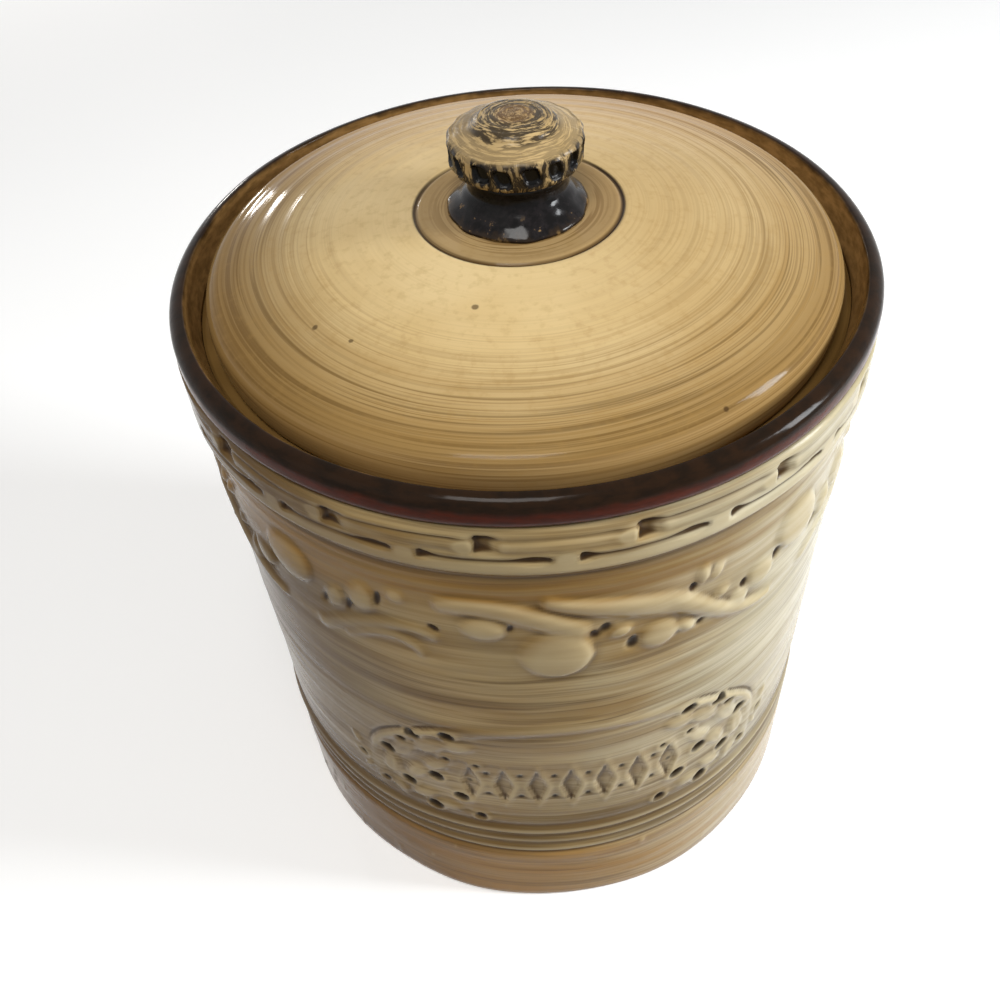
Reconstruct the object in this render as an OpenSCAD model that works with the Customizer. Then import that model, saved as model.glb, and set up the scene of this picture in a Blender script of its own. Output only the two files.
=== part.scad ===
// Glazed stoneware biscuit jar with a sunk domed lid and a mushroom knob.
// Z is up, the origin is the middle of the foot, and the front faces -Y.
// Wall ornament is laid out flat: u runs round the wall to the right, v runs up, both in millimetres.

/* [Jar] */
// Height from the table to the crest of the lip
jar_h = 219.2; // [200:0.2:250]
// Radius of the jar at the fullest part of the lip
lip_r = 103.4; // [95:0.2:112]
// Height of the rolled lip above the wall's top
lip_h = 9.2; // [8.6:0.2:14]
// Thickness of the lip, outside to inside
lip_t = 5; // [4.2:0.2:6.2]
// Radius of the round at the lip's inner edge
lip_edge = 0.8; // [0.4:0.1:1.4]
// How far the plain wall lies inside the lip under the plank courses
wall_inset = 2.4; // [1.8:0.1:3.4]
// How much smaller the wall's radius is at its foot than under the plank courses
wall_taper = 2.1; // [0:0.1:8]
// Thickness of the wall
wall_t = 7; // [5:0.5:9]
// Thickness of the floor
floor_t = 7; // [5:0.5:10]
// Depth of the recess inside the foot ring
foot_recess = 3.5; // [2:0.5:5]
// Width of the foot ring that touches the table
foot_w = 6; // [4:0.5:10]
// Radius of the round at the bottom edge
foot_round = 1.5; // [1:0.5:8]
// Radius of the cove where the floor meets the wall
floor_cove = 8; // [4:0.5:12]

/* [Gallery] */
// How far the lid's ledge lies below the foot of the lip
ledge_drop = 1; // [0.4:0.1:4]
// How far the foot of the gallery's wall leans inwards
gallery_lean = 3.5; // [0:0.5:4]
// How far the lid's edge reaches over the ledge
ledge_cover = 5; // [3:0.5:8]
// Thickness of the ledge at its inner edge
ledge_t = 4; // [3:0.5:6]

/* [Base mouldings] */
// Height of the plain band at the base
band_h = 35; // [28:1:42]
// How far the plain band stands out from the wall
band_out = 0.8; // [0.4:0.1:1.6]
// Number of raised rings above the plain band
ring_count = 3; // [1:1:4]
// Distance between the raised rings
ring_pitch = 6; // [5:0.5:7]
// How far the raised rings stand out
ring_out = 0.8; // [0.4:0.1:1.2]
// Half width of a raised ring
ring_half = 1.8; // [1.2:0.1:2.2]

/* [Plank courses] */
// Height of the two plank courses together
planks_h = 17.5; // [16.5:0.5:22]
// How far the planks stand out from the wall
planks_out = 2.6; // [1.6:0.1:3]
// How far the planks draw in where they meet the lip
neck_in = 1.2; // [0.4:0.1:1.6]
// Number of joints in each course
joint_count = 16; // [10:1:20]
// Width of a joint in the upper course
joint_w = 5.4; // [3:0.2:7]
// Height of a joint in the upper course
joint_h = 6; // [4:0.5:6.5]
// Depth of the joints, slots and score lines
joint_depth = 1.3; // [0.6:0.1:1.6]
// Width of the bridge between two slots in the lower course, in degrees
bridge_angle = 3.2; // [2:0.2:6]
// Height of the slots in the lower course
slot_h = 3.4; // [2:0.2:4]
// Height of the score line along the upper course
score_h = 0.8; // [0.4:0.1:1.2]

/* [Scroll frieze] */
// Number of times the scrolls repeat round the jar
frieze_count = 4; // [2:1:4]
// How far the scrolls stand out from the wall
scroll_out = 1.9; // [1:0.1:2.6]
// How far the middle of a domed berry stands out for each millimetre of its radius
berry_rise = 0.26; // [0.2:0.01:0.35]
// Distance from the plank courses down to the middle of the frieze
frieze_drop = 25; // [22:0.5:28]

/* [Front panel] */
// Half width of the arched panel
panel_w = 70; // [69:0.5:74]
// Height of the arch above the panel's springing line
panel_rise = 40; // [39:1:46]
// Height of the panel's foot above the base rings
panel_gap = 4; // [2:0.5:8]
// Width of the panel's raised frame
frame_w = 3.2; // [2:0.2:4]
// How far the frame and the leaves stand out
frame_out = 1.8; // [1:0.1:2.6]
// Number of lozenges sunk in the middle of the panel
lozenge_count = 7; // [3:2:7]
// Height of the lozenges' middle above the panel's springing line
lozenge_lift = 2.5; // [-4:0.5:8]
// Distance between lozenges
lozenge_pitch = 11; // [9:0.5:11]
// Height of a lozenge
lozenge_h = 24; // [16:1:27]
// Width of a lozenge
lozenge_w = 7.4; // [4:0.2:8]
// Depth of a lozenge
lozenge_depth = 1.3; // [0.6:0.1:2]
// Radius of the round pits between the leaves
pit_r = 1.9; // [1:0.1:2.2]
// Depth of the round pits
pit_depth = 1.8; // [1:0.1:2.4]

/* [Lid] */
// Gap between the lid's edge and the lip
lid_gap = 5.9; // [5:0.1:7.5]
// Radius of the sphere that the lid's top is part of
dome_r = 303; // [240:1:420]
// Height of the lid's middle above the ledge
lid_rise = 25.8; // [23:0.2:32]
// Thickness of the lid
lid_t = 6; // [4:0.5:7]
// Radius of the round at the lid's shoulder
shoulder_r = 6.5; // [4:0.5:8]
// Clearance between the lid's locating flange and the ledge
flange_gap = 2; // [1:0.25:4]
// Thickness of the locating flange
flange_t = 5; // [3:0.5:6]
// Height of the locating flange
flange_h = 8; // [5:0.5:12]
// Radius of the scored ring round the knob
pad_r = 29.6; // [26:0.1:36]
// Width of the scored ring
pad_score_w = 1.4; // [0.8:0.1:2]
// Depth of the scored ring
pad_score_depth = 1; // [0.4:0.1:1.6]

/* [Knob] */
// Radius of the knob's foot
knob_foot_r = 20.5; // [16:0.5:24]
// Radius of the stem at its waist
stem_r = 13.2; // [10:0.2:15]
// Height of the stem
stem_h = 13.5; // [12:0.1:20]
// Radius of the cap at its band
cap_r = 19.2; // [17:0.1:23]
// Height of the cap's band
cap_band_h = 9; // [6:0.5:11]
// Height of the domed top above the band
cap_top_h = 5.2; // [4:0.2:9]
// Number of nicks round the cap's band
nick_count = 16; // [8:1:20]
// Radius of a nick
nick_r = 1.9; // [1:0.1:2.2]

/* [Hidden] */
$fn = 96;

// Heights
lip_z = jar_h - lip_h;
planks_z = lip_z - 0.6 - planks_h;
ledge_z = lip_z - ledge_drop;
floor_z = foot_recess + floor_t;
rings_z = band_h + 3.5;
rings_top = rings_z + (ring_count - 1) * ring_pitch + ring_half;
panel_z = rings_top + panel_gap;
arch_z = panel_z + 22;
frieze_z = planks_z - frieze_drop;
upper_course_z = planks_z + planks_h / 2 + 1.4;
upper_joint_z = upper_course_z + 2.2;
slot_z = planks_z + planks_h / 2 - slot_h;

// Radii of the plain wall, which is one cone from the band to the planks
wall_top_r = lip_r - wall_inset;
wall_foot_r = wall_top_r - wall_taper;
function wall_r(z) = wall_foot_r + wall_taper * (z - band_h) / (planks_z - band_h);
base_r = wall_foot_r + band_out;
planks_r = wall_top_r + planks_out;
neck_r = planks_r - neck_in;
gallery_r = lip_r - lip_t;
gallery_foot_r = gallery_r - gallery_lean;
lid_r = gallery_r - lid_gap;
ledge_r = lid_r - ledge_cover;
bore_top_r = wall_top_r - wall_t;
bore_foot_r = wall_foot_r - wall_t;

// The frieze is drawn at full size for a wall of radius 100.665 and keeps its share of the round on any other
frieze_fit = wall_r(frieze_z) / 100.665;

// Azimuths of the measured features, in degrees to the right of the front
frieze_turn = 2.5;
panel_turn = 4.5;
upper_joint_turn = 15.4;
slot_turn = 4.1;

// Ornament that stands on the wall reaches this far into the air before it is trimmed to its height
stamp_reach = 8;
stamp_root = 6;
panel_root = 34;

// Lid
ball_z = ledge_z + lid_rise - dome_r;
flange_r = ledge_r - flange_gap;
fillet_r = lid_r - shoulder_r;
fillet_z = ball_z + sqrt(pow(dome_r - shoulder_r, 2) - pow(fillet_r, 2));
pad_z = ball_z + sqrt(pow(dome_r, 2) - pow(pad_r, 2)) + 0.2;
cap_z = pad_z + stem_h;

function arc(cx, cy, r, a0, a1, steps) =
    [for (i = [0:steps]) let (a = a0 + (a1 - a0) * i / steps) [cx + r * cos(a), cy + r * sin(a)]];
function mix(a, b, t) = a + (b - a) * t;
function bezier(p, t) =
    pow(1 - t, 3) * p[0] + 3 * t * pow(1 - t, 2) * p[1] + 3 * t * t * (1 - t) * p[2] + pow(t, 3) * p[3];
function bezier_side(p, t) =
    let (d = 3 * pow(1 - t, 2) * (p[1] - p[0]) + 6 * t * (1 - t) * (p[2] - p[1]) + 3 * t * t * (p[3] - p[2]))
    [-d[1], d[0]] / norm(d);

// Scroll strokes of one repeat: four control points, then the half width at each end
STROKES = [
    [[-30.5, 10.5], [-21, 13], [-9, 11], [6, 0.5], 2.2, 3.3],
    [[-2, 13], [8, 9.5], [17, 8.6], [31, 3.5], 1.8, 3.4],
    [[31, 3.5], [42, -1], [48, -16], [68, -18.5], 3.2, 1.5],
    [[-33.5, -5.5], [-42, 0], [-53, -5], [-72, -18], 1.5, 2.2],
    [[-62, -17], [-52, -8.5], [-41.5, -5], [-38, -14.5], 1.4, 1.5],
];
// Leaves of one repeat: u, v, length, width, turn in degrees
LEAVES = [
    [-19.5, 0.9, 14, 10, 4], [41, 8.5, 8, 3.8, 84], [45.2, 7.2, 7.5, 3.4, 62], [-54.5, 3.5, 15, 9.5, 78],
    [-64, -2, 12, 7, 70], [17.5, -4.5, 7, 4.2, 30], [37, -11, 8, 4.6, -48],
];
// Domed berries of one repeat: u, v, radius
BERRIES = [
    [-0.4, -10.8, 10.2], [28.6, -10.4, 5.8], [48.2, -3.1, 2.4], [54.8, -11, 3.6], [62.5, -5.5, 5.2],
    [77.5, 4.5, 9], [-43.3, 9.3, 2.8],
];
// Leaves of one side of the panel, measured from its middle and springing line: u, v, length, width, turn
PANEL_LEAVES = [
    [36, 24, 13, 6.5, -14], [45.5, 20.5, 15, 7.5, -34], [55.5, 13, 16, 8, -55],
    [62, -1, 15, 7, -84], [52, 1, 13, 6.5, -58], [44.5, 9, 12, 6, -40],
    [60, -15.5, 11, 6, -112], [51, -13, 12, 6, -28], [42, -17, 11, 5.5, 12],
];
// Pits of one side of the panel: u, v
PITS = [[38.5, 30], [50.5, 25.5], [62, 8.5], [45, 1.2], [56, -7.8], [47.2, -19.2], [37, -8.5]];

// The plain wall as a full cone, grown outwards by out
module wall_cone(out) {
    translate([0, 0, band_h])
        cylinder(h = planks_z - band_h, r1 = wall_foot_r + out, r2 = wall_top_r + out, $fn = 256);
}

// A flat shape at u = 0 pushed through the wall at azimuth turn, with its v axis upright
module stamp(turn, z, root = stamp_root) {
    rotate([0, 0, turn])
        translate([0, root - wall_r(z), z])
            rotate([90, 0, 0])
                linear_extrude(root + stamp_reach) children();
}

// Stamped shapes trimmed together to stand out from the wall by rise
module raised(rise) {
    intersection() {
        union() children();
        difference() {
            wall_cone(rise);
            wall_cone(0);
        }
    }
}

module leaf_shape(length, width, turn) {
    tip = length / 2;
    bow_r = (tip * tip + width * width / 4) / width;
    rotate(turn)
        intersection() {
            translate([0, bow_r - width / 2]) circle(bow_r);
            translate([0, width / 2 - bow_r]) circle(bow_r);
        }
}

// A tapering stroke with round ends
module stroke_shape(p) {
    steps = 8;
    side0 = bezier_side(p, 0);
    side1 = bezier_side(p, 1);
    a0 = atan2(side0[1], side0[0]);
    a1 = atan2(side1[1], side1[0]);
    upper = [for (i = [1:steps - 1]) let (t = i / steps)
        bezier(p, t) + mix(p[4], p[5], t) * bezier_side(p, t)];
    lower = [for (i = [steps - 1:-1:1]) let (t = i / steps)
        bezier(p, t) - mix(p[4], p[5], t) * bezier_side(p, t)];
    polygon(concat(
        upper,
        arc(p[3][0], p[3][1], p[5], a1, a1 - 180, 4),
        lower,
        arc(p[0][0], p[0][1], p[4], a0 + 180, a0, 4)));
}

// Degrees round the wall for a length u at height z
function turn_of(u, z) = u / wall_r(z) * 180 / PI;

module body_outline() {
    bore_cove = [bore_foot_r - floor_cove, floor_z + floor_cove];
    ledge_in = ledge_z - ledge_t;
    slope_z = ledge_in - (bore_top_r - ledge_r);
    rings = [for (i = [0:ring_count - 1]) let (z = rings_z + i * ring_pitch)
        each [for (a = [-90:30:90]) [wall_r(z) + ring_out * cos(a), z + ring_half * a / 90]]];
    polygon(concat(
        [[0, foot_recess], [base_r - foot_round - foot_w, foot_recess], [base_r - foot_round - foot_w, 0]],
        arc(base_r - foot_round, foot_round, foot_round, -90, 0, 8),
        [[base_r, band_h - 1], [wall_foot_r, band_h]],
        rings,
        [[wall_top_r, planks_z], [planks_r - 0.8, planks_z + 0.9], [planks_r, planks_z + 3]],
        [[planks_r, lip_z - 4], [planks_r - neck_in / 3, lip_z - 1.5], [neck_r, lip_z]],
        [[gallery_foot_r, lip_z], [gallery_foot_r, ledge_z], [ledge_r, ledge_z], [ledge_r, ledge_in],
         [bore_top_r, slope_z]],
        arc(bore_cove[0], bore_cove[1], floor_cove, 0, -90, 8),
        [[0, floor_z]]));
}

// One ring cut into the planks at height z
module plank_groove(z, height) {
    translate([0, 0, z])
        difference() {
            cylinder(h = height, r = planks_r + 1);
            translate([0, 0, -1]) cylinder(h = height + 2, r = planks_r - joint_depth);
        }
}

module plank_cuts() {
    plank_groove(upper_joint_z - score_h / 2, score_h);
    for (i = [0:joint_count - 1]) {
        rotate([0, 0, upper_joint_turn + i * 360 / joint_count])
            translate([-joint_w / 2, -planks_r - 1, upper_joint_z - joint_h / 2])
                cube([joint_w, 1 + joint_depth, joint_h]);
    }
    difference() {
        plank_groove(slot_z, slot_h);
        for (i = [0:joint_count - 1]) {
            rotate([0, 0, slot_turn + i * 360 / joint_count])
                translate([-planks_r * sin(bridge_angle / 2), -planks_r - 2, slot_z - 1])
                    cube([2 * planks_r * sin(bridge_angle / 2), 8, slot_h + 2]);
        }
    }
}

module panel_cuts() {
    for (i = [0:lozenge_count - 1]) {
        u = (i - (lozenge_count - 1) / 2) * lozenge_pitch;
        rotate([0, 0, panel_turn + turn_of(u, arch_z)])
            translate([0, lozenge_depth - wall_r(arch_z), arch_z + lozenge_lift])
                rotate([90, 0, 0])
                    linear_extrude(stamp_reach)
                        polygon([[0, -lozenge_h / 2], [lozenge_w / 2, 0], [0, lozenge_h / 2], [-lozenge_w / 2, 0]]);
    }
    for (side = [-1, 1], pit = PITS) {
        z = arch_z + pit[1];
        rotate([0, 0, panel_turn + turn_of(side * pit[0], z)])
            translate([0, pit_depth - wall_r(z), z])
                rotate([90, 0, 0])
                    cylinder(h = stamp_reach, r = pit_r);
    }
}

module jar_body() {
    color("burlywood")
        difference() {
            rotate_extrude() body_outline();
            plank_cuts();
            panel_cuts();
        }
}

// The lip is a rolled coil on top of the wall: highest at its inner edge and rounded over to the outside
module rim_lip() {
    crown_r = lip_t - lip_edge;
    color("saddlebrown")
        rotate_extrude()
            polygon(concat(
                [[gallery_foot_r, lip_z], [neck_r, lip_z], [lip_r - 0.4, lip_z + 1], [lip_r, lip_z + 2.2]],
                arc(lip_r - crown_r, jar_h - crown_r, crown_r, 0, 90, 10),
                arc(gallery_r + lip_edge, jar_h - lip_edge, lip_edge, 112.5, 180, 3)));
}

module scroll_frieze() {
    color("wheat")
        raised(scroll_out)
            for (i = [0:frieze_count - 1]) {
                start = frieze_turn + i * 360 / frieze_count;
                for (drawn = STROKES) {
                    p = [for (a = drawn) a * frieze_fit];
                    middle = (p[0] + p[3]) / 2;
                    stamp(start + turn_of(middle[0], frieze_z), frieze_z)
                        translate([-middle[0], 0]) stroke_shape(p);
                }
                for (leaf = LEAVES) {
                    at = [leaf[0], leaf[1]] * frieze_fit;
                    stamp(start + turn_of(at[0], frieze_z), frieze_z + at[1])
                        leaf_shape(leaf[2] * frieze_fit, leaf[3] * frieze_fit, leaf[4]);
                }
            }
}

// A domed button on a short root that reaches into the wall
module berry(turn, z, radius) {
    edge = 0.5;
    rise = radius * berry_rise;
    rotate([0, 0, turn])
        translate([0, -wall_r(z), z])
            rotate([90, 0, 0])
                rotate_extrude()
                    polygon(concat(
                        [[0, -stamp_root], [radius, -stamp_root]],
                        [for (a = [0:30:90]) [radius * cos(a), edge + rise * sin(a)]]));
}

module berry_sprigs() {
    color("cornsilk")
        difference() {
            for (i = [0:frieze_count - 1], b = BERRIES * frieze_fit)
                berry(frieze_turn + i * 360 / frieze_count + turn_of(b[0], frieze_z), frieze_z + b[1], b[2]);
            wall_cone(0);
        }
}

// Half of an ellipse above the springing line, with straight legs down to the panel's foot
module arch_shape(inset) {
    half_w = panel_w - inset;
    foot = panel_z - arch_z;
    polygon(concat(
        [[half_w, foot]],
        [for (i = [0:24]) [half_w * cos(i * 7.5), (panel_rise - inset) * sin(i * 7.5)]],
        [[-half_w, foot]]));
}

module panel_frame() {
    color("tan")
        raised(frame_out)
            stamp(panel_turn, arch_z, panel_root)
                difference() {
                    arch_shape(0);
                    translate([0, -0.01]) arch_shape(frame_w);
                }
}

module panel_leaves() {
    color("tan")
        raised(frame_out)
            for (side = [-1, 1], leaf = PANEL_LEAVES) {
                z = arch_z + leaf[1];
                stamp(panel_turn + turn_of(side * leaf[0], z), z)
                    leaf_shape(leaf[2], leaf[3], side * leaf[4]);
            }
}

module lid_outline() {
    top_a = atan2(fillet_z - ball_z, fillet_r);
    pad_a = acos(pad_r / dome_r);
    score_in = pad_r - pad_score_w;
    under_r = dome_r - lid_t;
    flange_in = flange_r - flange_t;
    flange_a = acos(flange_in / under_r);
    polygon(concat(
        [[0, pad_z], [score_in, pad_z], [pad_r - pad_score_w / 2, pad_z - pad_score_depth]],
        arc(0, ball_z, dome_r, pad_a, top_a, 14),
        arc(fillet_r, fillet_z, shoulder_r, top_a - 9, 0, 8),
        [[lid_r, ledge_z + 2], [lid_r - 1.4, ledge_z], [flange_r, ledge_z]],
        [[flange_r, ledge_z - flange_h + 1], [flange_r - 1, ledge_z - flange_h]],
        [[flange_in + 1, ledge_z - flange_h], [flange_in, ledge_z - flange_h + 1]],
        arc(0, ball_z, under_r, flange_a, 90, 10)));
}

module lid_dome() {
    color("burlywood") rotate_extrude() lid_outline();
}

module knob_stem() {
    flare = knob_foot_r - stem_r;
    color("#1d1a18")
        translate([0, 0, pad_z])
            rotate_extrude()
                polygon(concat(
                    [[0, 0], [knob_foot_r - 0.6, 0], [knob_foot_r, 0.8]],
                    [for (i = [0:12]) let (t = i / 12)
                        [stem_r + flare * pow(1 - t, 2.2), 2.2 + (stem_h - 4.2) * t]],
                    [[stem_r + 1, stem_h], [0, stem_h]]));
}

module knob_cap() {
    top_z = cap_z + cap_band_h;
    step_r = cap_r * 0.6;
    color("darkkhaki")
        difference() {
            rotate_extrude()
                polygon(concat(
                    [[0, cap_z], [stem_r + 1, cap_z], [cap_r - 1.4, cap_z + 0.6]],
                    arc(cap_r - 1.5, cap_z + 2, 1.5, -50, 0, 3),
                    arc(cap_r - 2.4, top_z - 2.4, 2.4, 0, 70, 5),
                    [[step_r + 1.6, top_z + 1.1], [step_r, top_z + 2.2]],
                    [for (i = [1:8]) let (t = i / 8)
                        [step_r * cos(90 * t), top_z + 2.2 + (cap_top_h - 2.2) * sin(90 * t)]]));
            for (i = [0:nick_count - 1])
                rotate([0, 0, i * 360 / nick_count])
                    translate([cap_r - 1.1, 0, cap_z + cap_band_h / 2 - 0.2])
                        rotate([0, 90, 0])
                            cylinder(h = 3, r = nick_r);
        }
}

jar_body();
rim_lip();
scroll_frieze();
berry_sprigs();
panel_frame();
panel_leaves();
lid_dome();
knob_stem();
knob_cap();
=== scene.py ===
"""Glazed stoneware biscuit jar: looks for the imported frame.

Lengths are millimetres in the shapes, and metres in the materials and on the stage.
Azimuths are degrees to the right of the front (-Y).
"""
import math

import bpy
import numpy as np
from mathutils import Matrix, Vector


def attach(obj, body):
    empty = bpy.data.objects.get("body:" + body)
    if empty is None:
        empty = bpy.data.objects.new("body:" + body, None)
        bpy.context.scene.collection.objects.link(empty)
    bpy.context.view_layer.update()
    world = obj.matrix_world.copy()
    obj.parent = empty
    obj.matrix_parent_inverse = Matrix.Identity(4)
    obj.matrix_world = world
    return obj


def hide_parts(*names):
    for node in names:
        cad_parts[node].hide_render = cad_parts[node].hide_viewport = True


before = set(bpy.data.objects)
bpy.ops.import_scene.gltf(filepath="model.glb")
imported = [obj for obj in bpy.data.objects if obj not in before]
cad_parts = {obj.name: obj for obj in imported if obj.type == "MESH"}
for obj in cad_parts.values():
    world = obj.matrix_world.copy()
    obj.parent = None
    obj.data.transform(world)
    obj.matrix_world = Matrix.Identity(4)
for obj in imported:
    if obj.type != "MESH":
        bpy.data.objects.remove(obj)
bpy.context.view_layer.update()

MM = 0.001
rng = np.random.default_rng(7)

# ---------------------------------------------------------------- sizes, as in the part's source
JAR_H, LIP_R, LIP_H, LIP_T, LIP_EDGE = 219.2, 103.4, 9.2, 5.0, 0.8
LIP_Z = JAR_H - LIP_H
LEDGE_Z = LIP_Z - 1.0
PLANKS_H = 17.5
PLANKS_Z = LIP_Z - 0.6 - PLANKS_H
BAND_H = 35.0
WALL_TOP_R, WALL_FOOT_R = 101.0, 98.9
BASE_R, PLANKS_R, NECK_R = 99.7, 103.6, 102.4
GALLERY_R, GALLERY_FOOT_R = 98.4, 94.9
LID_R, LEDGE_R = 92.5, 87.5
FOOT_RECESS, FOOT_W, FOOT_ROUND, FLOOR_Z = 3.5, 6.0, 1.5, 10.5
WALL_T = 7.0
FRIEZE_Z = PLANKS_Z - 25.0
FRIEZE_TURN, FRIEZE_COUNT = 2.5, 4
ARCH_Z, PANEL_TURN = 78.3, 4.5
PANEL_W, PANEL_RISE, PANEL_FOOT = 70.0, 40.0, -22.0
UPPER_JOINT_Z, UPPER_JOINT_TURN = PLANKS_Z + PLANKS_H / 2 + 3.6, 15.4
SLOT_Z, SLOT_TURN = PLANKS_Z + PLANKS_H / 2 - 1.7, 4.1
JOINTS = 16
DOME_R, LID_RISE, SHOULDER_R = 303.0, 25.8, 6.5
BALL_Z = LEDGE_Z + LID_RISE - DOME_R
PAD_R = 29.6
PAD_Z = BALL_Z + math.sqrt(DOME_R ** 2 - PAD_R ** 2) + 0.2
STEM_H, STEM_R, KNOB_FOOT_R = 13.5, 13.2, 20.5
CAP_Z, CAP_R, CAP_BAND_H, CAP_TOP_H = PAD_Z + STEM_H, 19.2, 9.0, 5.2
# The glazed wall stays inside this radius
REACH = PLANKS_R - 0.15


def wall_r(z):
    return WALL_FOOT_R + (WALL_TOP_R - WALL_FOOT_R) * (z - BAND_H) / (PLANKS_Z - BAND_H)


# ---------------------------------------------------------------- smooth random fields
def smoothstep(x, lo, hi):
    t = np.clip((x - lo) / (hi - lo), 0, 1)
    return t * t * (3 - 2 * t)


def blur(img, su, sv):
    """Gaussian blur in cells, wrapping round the jar (axis 1) and clamped up and down (axis 0)."""
    for axis, s in ((1, su), (0, sv)):
        if s <= 0:
            continue
        n = max(1, int(math.ceil(2.6 * s)))
        k = np.exp(-0.5 * (np.arange(-n, n + 1) / s) ** 2)
        k /= k.sum()
        if axis == 1:
            img = sum(w * np.roll(img, i - n, axis=1) for i, w in enumerate(k))
        else:
            pad = np.pad(img, ((n, n), (0, 0)), mode="edge")
            img = sum(w * pad[i:i + img.shape[0]] for i, w in enumerate(k))
    return img


def field(shape, su, sv, seed):
    """Smooth noise of about unit size."""
    f = blur(np.random.default_rng(seed).standard_normal(shape), su, sv)
    return f / f.std()


# ---------------------------------------------------------------- relief of the outer wall
CELL = 0.33
NU = int(round(2 * math.pi * 100 / CELL))
NV = int(round(LIP_Z / CELL)) + 1
AZ = (np.arange(NU) + 0.5) / NU * 360 - 180
ZZ = np.arange(NV) * CELL
relief = np.zeros((NV, NU))
sunk = np.zeros((NV, NU))
pooled_glaze_and_shade = np.zeros((NV, NU))


class Patch:
    """A window of the wall round an azimuth and height, with flat coordinates u to the right and v up."""

    def __init__(self, turn, z, half_u, half_v):
        r = wall_r(z)
        i0 = int(round((turn + 180) / 360 * NU - 0.5))
        nu = int(half_u / (2 * math.pi * r / NU)) + 2
        self.cols = (np.arange(i0 - nu, i0 + nu + 1)) % NU
        lo, hi = max(0, int((z - half_v) / CELL)), min(NV, int((z + half_v) / CELL) + 2)
        self.rows = np.arange(lo, hi)
        du = (AZ[self.cols] - turn + 180) % 360 - 180
        self.u, self.v = np.meshgrid(np.radians(du) * r, ZZ[self.rows] - z)
        self.at = np.ix_(self.rows, self.cols)


def raise_to(patch, h):
    relief[patch.at] = np.maximum(relief[patch.at], h)


def sink_to(patch, d):
    sunk[patch.at] = np.maximum(sunk[patch.at], d)


def bezier(p, t):
    p = [np.array(q, float) for q in p[:4]]
    t = np.asarray(t)[:, None]
    return (1 - t) ** 3 * p[0] + 3 * t * (1 - t) ** 2 * p[1] + 3 * t * t * (1 - t) * p[2] + t ** 3 * p[3]


def stroke(turn, z, p, height):
    pts = bezier(p, np.linspace(0, 1, 40))
    wid = np.linspace(p[4], p[5], 40)
    tall = np.interp(np.linspace(0, 1, 40), [0, 0.15, 0.8, 1], [0.7, 1, 1, 0.75])
    c = pts.mean(0)
    half = np.abs(pts - c).max(0) + 2.1 * wid.max() + 1
    patch = Patch(turn + math.degrees(c[0] / wall_r(z)), z + c[1], half[0], half[1])
    best = np.zeros_like(patch.u)
    # Each scroll is steep along its upper side and runs out softly below
    for (pu, pv), w, k in zip(pts - c, wid, tall):
        dv = patch.v - pv
        q = ((patch.u - pu) / w) ** 2 + (dv / np.where(dv > 0, w, 2.0 * w)) ** 2
        best = np.maximum(best, k * np.clip(1 - q, 0, 1) ** 0.6)
    raise_to(patch, height * best)


def leaf(turn, z, u, v, length, width, angle, height, rib=0.3, lean=0.0):
    """A pointed oval; lean raises its right end above its left one."""
    patch = Patch(turn + math.degrees(u / wall_r(z)), z + v, length * 0.6, length * 0.6)
    a = math.radians(-angle)
    x = patch.u * math.cos(a) - patch.v * math.sin(a)
    y = patch.u * math.sin(a) + patch.v * math.cos(a)
    bow = (length * length + width * width) / (4 * width)
    d = np.minimum(bow - np.hypot(x, y - bow + width / 2), bow - np.hypot(x, y + bow - width / 2))
    s = np.clip(d / (width / 2), 0, 1)
    h = height * np.sqrt(1 - (1 - s) ** 2) * (1 + lean * 2 * patch.u / length)
    raise_to(patch, h * (1 - rib * np.exp(-(y / 0.6) ** 2)))


def berry(turn, z, u, v, radius, height, lean=0.0):
    """A domed button; lean tips it so that its lower right edge stands out and its upper left sinks in."""
    patch = Patch(turn + math.degrees(u / wall_r(z)), z + v, radius + 1, radius + 1)
    q = (patch.u ** 2 + patch.v ** 2) / radius ** 2
    tip = 1 + lean * (0.85 * patch.u - 0.5 * patch.v) / radius
    raise_to(patch, height * np.clip(1 - q, 0, 1) ** 0.3 * tip)


def pit(turn, z, u, v, radius, depth, stretch=1.0, angle=0.0):
    patch = Patch(turn + math.degrees(u / wall_r(z)), z + v, radius * 2.5, radius * 2.5)
    a = math.radians(-angle)
    x = (patch.u * math.cos(a) - patch.v * math.sin(a)) / stretch
    y = patch.u * math.sin(a) + patch.v * math.cos(a)
    q = (x * x + y * y) / radius ** 2
    sink_to(patch, depth * np.clip(1 - q, 0, 1) ** 0.5)
    # The dark colour in and round each pit or hollow is partly pooled glaze and partly painted shade
    pooled_glaze_and_shade[patch.at] = np.maximum(pooled_glaze_and_shade[patch.at], depth * np.clip(1.35 - q, 0, 1) ** 0.7)


STROKES = [
    [[-30.5, 10.5], [-21, 13], [-9, 11], [6, 0.5], 2.2, 3.3],
    [[-2, 13], [8, 9.5], [17, 8.6], [31, 3.5], 1.8, 3.4],
    [[31, 3.5], [42, -1], [48, -16], [68, -18.5], 3.2, 1.5],
    [[-33.5, -5.5], [-42, 0], [-53, -5], [-72, -18], 1.5, 2.2],
    [[-62, -17], [-52, -8.5], [-41.5, -5], [-38, -14.5], 1.4, 1.5],
]
LEAVES = [
    [-19.5, 0.9, 14, 10, 4], [41, 8.5, 8, 3.8, 84], [45.2, 7.2, 7.5, 3.4, 62], [-54.5, 3.5, 15, 9.5, 78],
    [-64, -2, 12, 7, 70], [17.5, -4.5, 7, 4.2, 30], [37, -11, 8, 4.6, -48],
]
BERRIES = [
    [-0.4, -10.8, 10.2], [28.6, -10.4, 5.8], [48.2, -3.1, 2.4], [54.8, -11, 3.6], [62.5, -5.5, 5.2],
    [77.5, 4.5, 9], [-43.3, 9.3, 2.8],
]
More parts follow.
